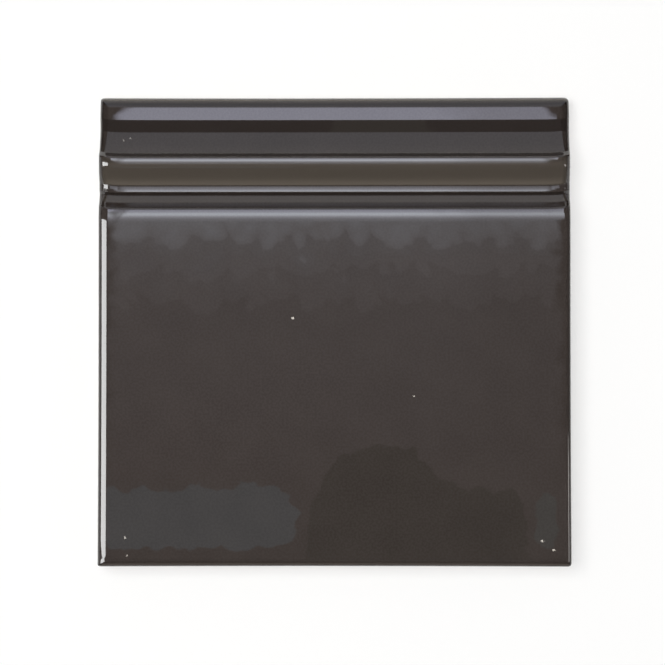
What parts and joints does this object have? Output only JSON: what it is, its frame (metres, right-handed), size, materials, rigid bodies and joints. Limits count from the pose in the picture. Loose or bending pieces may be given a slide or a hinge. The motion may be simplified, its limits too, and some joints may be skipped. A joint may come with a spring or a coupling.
{
  "type": "skirting tile",
  "caption": "Moulded skirting tile: a glazed ceramic slab whose plain plinth face steps back through a scotia, a listel, a ridge and a cavetto to a splayed thin top edge; it finishes the foot of a wall.",
  "frame": {"origin": "middle of the back of the tile, on the plane that it lies on", "axes": "+Z out of the glazed face, +Y towards the thin top edge, X along the skirting"},
  "size_m": [0.152, 0.1516, 0.018],
  "materials": {
    "crackle_glaze": "glossy crackle glaze, charcoal, thinning to brown on the arrises"
  },
  "bodies": {
    "root": {"skirting_tile": "crackle_glaze"}
  },
  "joints": []
}
